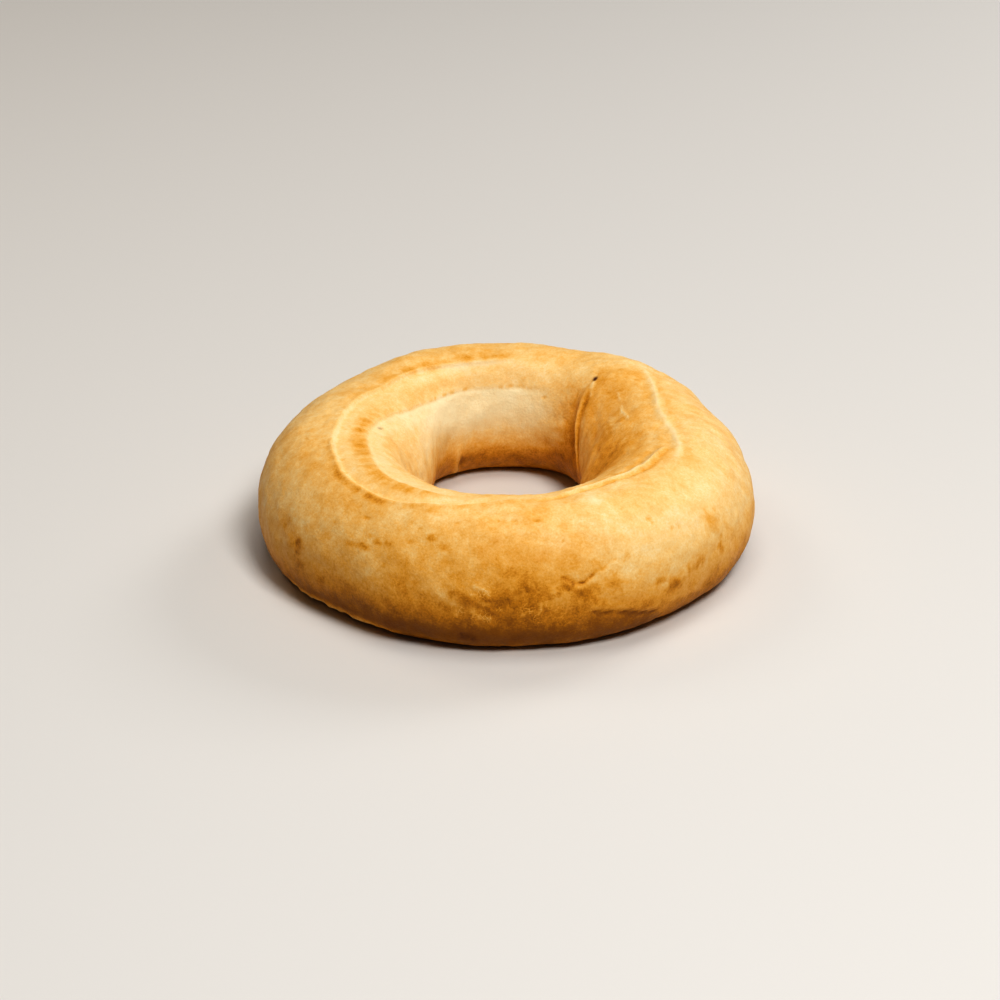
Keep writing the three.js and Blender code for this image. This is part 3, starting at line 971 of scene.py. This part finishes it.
def closed_grid_mesh(name: str, points: Array) -> bpy.types.Mesh:
    """Mesh of a grid that closes on itself both ways, with faces (i, j), (i+1, j), (i+1, j+1), (i, j+1).

    Args:
        name: Name of the mesh.
        points: Columns by rows by 3, in metres.

    Returns:
        The smooth-shaded mesh.
    """
    columns, rows = points.shape[:2]
    number = np.arange(columns * rows).reshape(columns, rows)
    beside, above = np.roll(number, -1, 0), np.roll(number, -1, 1)
    corners = np.stack([number, beside, np.roll(beside, -1, 1), above], axis=-1).reshape(-1, 4)
    mesh = bpy.data.meshes.new(name)
    mesh.from_pydata(points.reshape(-1, 3), [], corners.tolist())
    mesh.polygons.foreach_set("use_smooth", np.ones(len(corners), dtype=bool))
    return mesh


class NodeBench:
    """Small helper that adds and joins shader nodes in one tree, at the object's own coordinates."""

    def __init__(self, tree: bpy.types.NodeTree) -> None:
        """Keep the tree that the nodes go into, and the Object coordinates."""
        self.tree = tree
        self.place = self.add("ShaderNodeTexCoord").outputs["Object"]

    def add(self, kind: str, values: dict[str | int, object] | None = None,
            **settings: object) -> bpy.types.Node:
        """Add a node, set its own settings and the values of its inputs.

        Args:
            kind: Blender's name of the node type.
            values: Input name or number to a value or to an output socket that feeds it.
            **settings: The node's own properties.

        Returns:
            The node.
        """
        node = self.tree.nodes.new(kind)
        for name, value in settings.items():
            setattr(node, name, value)
        for name, value in (values or {}).items():
            if isinstance(value, bpy.types.NodeSocket):
                self.tree.links.new(value, node.inputs[name])
            else:
                node.inputs[name].default_value = value
        return node

    def noise(self, scale: float, detail: float, rough: float = 0.5,
              place: bpy.types.NodeSocket | None = None) -> bpy.types.NodeSocket:
        """Noise from 0 to 1, at the object's coordinates or at a given place."""
        values = {"Vector": place or self.place, "Scale": scale, "Detail": detail, "Roughness": rough}
        return self.add("ShaderNodeTexNoise", values).outputs["Fac"]

    def math(self, operation: str, first: object, second: object) -> bpy.types.NodeSocket:
        """One arithmetic step on two values."""
        return self.add("ShaderNodeMath", {0: first, 1: second}, operation=operation).outputs[0]

    def total(self, *parts: object) -> bpy.types.NodeSocket:
        """Sum of several values."""
        return reduce(partial(self.math, "ADD"), parts)

    def product(self, *parts: object) -> bpy.types.NodeSocket:
        """Product of several values."""
        return reduce(partial(self.math, "MULTIPLY"), parts)

    def spread(self, value: object, low: float, high: float, to_low: float = 0.0,
               to_high: float = 1.0) -> bpy.types.NodeSocket:
        """Map a range of values to another, held at its ends."""
        names = {"Value": value, "From Min": low, "From Max": high, "To Min": to_low, "To Max": to_high}
        return self.add("ShaderNodeMapRange", names, clamp=True).outputs["Result"]

    def tone(self, tone: Tone) -> bpy.types.NodeSocket:
        """One of the crust's tone attributes."""
        return self.add("ShaderNodeAttribute", attribute_name=tone.value).outputs["Fac"]


TINT_SPAN = (0.3, 0.7)
SHINE_SPAN = (0.35, 0.65)


@dataclass(frozen=True)
class Grain:
    """One size of shader unevenness, in cells for each metre, and how strongly it counts."""

    scale: float
    detail: float
    rough: float
    amount: float

    def tint(self, bench: NodeBench) -> bpy.types.NodeSocket:
        """From minus to plus the amount, over the middle of the noise's range."""
        noise = bench.noise(self.scale, self.detail, self.rough)
        return bench.spread(noise, *TINT_SPAN, -self.amount, self.amount)

    def lift(self, bench: NodeBench, place: bpy.types.NodeSocket | None = None) -> bpy.types.NodeSocket:
        """From 0 to the amount."""
        return bench.product(bench.noise(self.scale, self.detail, self.rough, place), self.amount)


@dataclass(frozen=True)
class CrustFinish:
    """The baked crust: cream where it stayed covered, golden to brown where it met the heat.

    The calms hold a range of the level of browning and painted shade and how much of the tints is left at
    both its ends. The web is the fine broken net of dry skin edges where the crust flakes.
    """

    stops: tuple[tuple[float, Colour], ...] = (
        (0.0, (0.95, 0.815, 0.525)), (0.30, (0.885, 0.605, 0.260)), (0.50, (0.83, 0.468, 0.128)),
        (0.70, (0.745, 0.35, 0.042)), (0.85, (0.57, 0.232, 0.010)), (1.0, (0.32, 0.117, 0.003)),
        (1.25, (0.15, 0.045, 0.002)))
    # Near-black painted shade inside small holes.
    pit_shade: Colour = (0.10, 0.03, 0.008)
    tints: tuple[Grain, ...] = (
        Grain(48, 3, 0.55, 0.07), Grain(150, 3, 0.6, 0.09), Grain(420, 3, 0.6, 0.09),
        Grain(1900, 2, 0.7, 0.09))
    brown_calm: tuple[float, ...] = (0.70, 1.05, 1.0, 0.45)
    pale_calm: tuple[float, ...] = (0.10, 0.45, 0.45, 1.0)
    skin: tuple[Grain, ...] = (Grain(1700, 3, 0.6, 0.50), Grain(300, 2, 0.5, 0.35))
    wrinkles: Grain = Grain(1300, 2, 0.55, 0.05)
    wrinkle_lie: float = 38.0
    wrinkle_stretch: float = 2.2
    skin_bump: tuple[float, float] = (0.5, 0.0006)
    web_cells: float = 700.0
    web_edge: float = 0.09
    web_bend: tuple[float, float] = (260.0, 0.005)
    web_breaks: tuple[float, float, float] = (520.0, 0.49, 0.58)
    web_paleness: float = 0.30
    web_lift: float = 0.12
    shine_scale: float = 260.0
    rough: tuple[float, float] = (0.47, 0.65)
    specular: float = 0.25

    def material(self) -> bpy.types.Material:
        """Build the material from the tone attributes and noises on Object coordinates."""
        material = bpy.data.materials.new("baked_crust")
        material.use_nodes = True
        material.node_tree.nodes.clear()
        bench = NodeBench(material.node_tree)
        web = self._web(bench)
        strength, distance = self.skin_bump
        bump = bench.add("ShaderNodeBump", {
            "Strength": strength, "Distance": distance, "Height": self._height(bench, web)})
        shader = bench.add("ShaderNodeBsdfPrincipled", {
            "Base Color": self._colour(bench, web),
            "Roughness": bench.spread(bench.noise(self.shine_scale, 3.0), *SHINE_SPAN, *self.rough),
            "Normal": bump.outputs["Normal"],
            "Specular IOR Level": self.specular})
        bench.add("ShaderNodeOutputMaterial", {"Surface": shader.outputs["BSDF"]})
        return material

    def _web(self, bench: NodeBench) -> bpy.types.NodeSocket:
        """1 near the borders of bent cells where the crust flakes, broken by a noise, 0 elsewhere."""
        scale, push = self.web_bend
        bend = bench.add("ShaderNodeTexNoise", {"Vector": bench.place, "Scale": scale, "Detail": 2.0})
        moved = bench.add("ShaderNodeVectorMath", {
            0: bend.outputs["Color"], 1: (push, push, push), 2: bench.place}, operation="MULTIPLY_ADD")
        cells = bench.add("ShaderNodeTexVoronoi", {"Vector": moved.outputs[0], "Scale": self.web_cells},
                          feature="DISTANCE_TO_EDGE")
        edge = bench.spread(cells.outputs["Distance"], 0.0, self.web_edge, 1.0, 0.0)
        scale, low, high = self.web_breaks
        return bench.product(edge, bench.spread(bench.noise(scale, 2.0), low, high), bench.tone(Tone.FLAKE))

    def _height(self, bench: NodeBench, web: bpy.types.NodeSocket) -> bpy.types.NodeSocket:
        """Height of the fine skin: even grains, wrinkles stretched along a slanting line, and the web."""
        lie = bench.add("ShaderNodeMapping", {
            "Vector": bench.place, "Rotation": (0.0, math.radians(self.wrinkle_lie), 0.0),
            "Scale": (self.wrinkle_stretch, 1.0, 1.0)}, vector_type="TEXTURE")
        grains = [grain.lift(bench) for grain in self.skin]
        wrinkles = self.wrinkles.lift(bench, lie.outputs[0])
        return bench.total(*grains, wrinkles, bench.product(web, self.web_lift))

    def _colour(self, bench: NodeBench, web: bpy.types.NodeSocket) -> bpy.types.NodeSocket:
        """Colour along a ramp from cream over gold to brown.

        The ramp's place is the level of browning and painted shade, plus the tints times both calms, minus
        the web's paleness. Where the tone of the small holes is, the colour turns to the near-black painted
        shade inside them.
        """
        calm = [bench.spread(bench.tone(Tone.BAKE), *span) for span in (self.brown_calm, self.pale_calm)]
        uneven = bench.product(*calm, bench.total(*(grain.tint(bench) for grain in self.tints)))
        level = bench.total(bench.tone(Tone.BAKE), uneven, bench.product(web, -self.web_paleness))
        last = self.stops[-1][0]
        node = bench.add("ShaderNodeValToRGB", {"Fac": bench.math("DIVIDE", level, last)})
        elements = node.color_ramp.elements
        for index, (position, colour) in enumerate(self.stops):
            element = elements[index] if index < len(elements) else elements.new(position / last)
            element.position = position / last
            element.color = (*colour, 1.0)
        pit_shade = {0: bench.tone(Tone.PIT_SHADE), 6: node.outputs["Color"], 7: (*self.pit_shade, 1.0)}
        return bench.add("ShaderNodeMix", pit_shade, data_type="RGBA").outputs[2]


@dataclass(frozen=True)
class Softbox:
    """A square area light that looks at the ring.

    The azimuth is 0 on the camera's side and grows to the right, the elevation is above the floor.
    """

    name: str
    azimuth: float
    elevation: float
    power: float
    size: float = 0.34
    distance: float = 1.05
    colour: Colour = (1.0, 1.0, 1.0)

    def build(self) -> None:
        """Hang the light, turned from its place towards the middle of the ring."""
        lamp = bpy.data.lights.new(self.name, "AREA")
        lamp.shape = "SQUARE"
        lamp.size = self.size
        lamp.energy = self.power
        lamp.color = self.colour
        around, up = math.radians(self.azimuth), math.radians(self.elevation)
        way = (math.sin(around) * math.cos(up), -math.cos(around) * math.cos(up), math.sin(up))
        holder = show(self.name, lamp)
        holder.location = tuple(self.distance * part for part in way)
        holder.rotation_euler = (0.5 * math.pi - up, 0.0, around)


@dataclass
class Studio:
    """Pale floor, soft light and a camera at the photograph's viewing angle."""

    elevation: float = 24.9
    distance: float = 0.770
    pixels_per_mm: float = 4.125
    picture: float = 1000.0
    ring_pixel: tuple[float, float] = (506.0, 545.0)
    ring_y: float = -0.00457
    sensor: float = 36.0
    lights: tuple[Softbox, ...] = (
        Softbox("key_light", 27.0, 55.0, 5.6),
        Softbox("side_light", 136.0, 32.0, 2.5),
        Softbox("top_light", 0.0, 88.0, 2.2, 0.5),
        Softbox("rim_light", -135.0, 42.0, 1.1, colour=(1.0, 0.88, 0.74)),
    )
    surround: float = 0.05
    floor_half: float = 3.0
    floor_drop: float = 0.0001
    floor_colour: Colour = (0.70, 0.675, 0.64)
    floor_rough: float = 0.7

    def build(self) -> None:
        """Make the floor, the lights, the surrounding light and the camera."""
        self._floor()
        self._world()
        for light in self.lights:
            light.build()
        self._camera()

    def _floor(self) -> None:
        """A plain pale square of 6 m just under the ring."""
        material = bpy.data.materials.new("pale_floor")
        material.use_nodes = True
        shader = material.node_tree.nodes["Principled BSDF"]
        shader.inputs["Base Color"].default_value = (*self.floor_colour, 1.0)
        shader.inputs["Roughness"].default_value = self.floor_rough
        half, level = self.floor_half, -self.floor_drop
        corners = [(-half, -half, level), (half, -half, level), (half, half, level), (-half, half, level)]
        mesh = bpy.data.meshes.new("floor")
        mesh.from_pydata(corners, [], [(0, 1, 2, 3)])
        mesh.materials.append(material)
        show("floor", mesh)

    def _world(self) -> None:
        """Even, dim white light from all sides."""
        world = bpy.data.worlds.new("studio")
        world.use_nodes = True
        background = world.node_tree.nodes["Background"]
        background.inputs["Color"].default_value = (1.0, 1.0, 1.0, 1.0)
        background.inputs["Strength"].default_value = self.surround
        bpy.context.scene.world = world

    def _camera(self) -> None:
        """Camera that sees the ring's plan centre at its pixel of the square picture.

        The place is the centre minus the viewing direction times the distance, moved across and up by
        the pixel offsets over the scale.
        """
        lean = math.radians(self.elevation)
        forward = np.array([0.0, math.cos(lean), -math.sin(lean)])
        upward = np.array([0.0, math.sin(lean), math.cos(lean)])
        shift = (np.array(self.ring_pixel) - 0.5 * self.picture) / self.pixels_per_mm * MM
        place = np.array([-shift[0], self.ring_y, 0.0]) - forward * self.distance + upward * shift[1]
        data = bpy.data.cameras.new("camera")
        data.sensor_width = self.sensor
        data.lens = self.pixels_per_mm * self.distance / MM / self.picture * self.sensor
        camera = show("camera", data)
        camera.location = place
        camera.rotation_euler = (0.5 * math.pi - lean, 0.0, 0.0)
        bpy.context.scene.camera = camera


def main() -> None:
    """Build the bread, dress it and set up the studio."""
    logging.basicConfig(level=logging.INFO, format="%(name)s: %(message)s")
    ring = BreadRing().build()
    ring.data.materials.append(CrustFinish().material())
    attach(ring, "root")
    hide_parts("bread_ring")
    LOG.info("%s: %d faces", ring.name, len(ring.data.polygons))
    Studio().build()
    bpy.context.scene.view_settings.view_transform = "Standard"
    bpy.context.scene.view_settings.look = "High Contrast"
    LOG.info("boxes written")


if __name__ == "__main__":
    main()
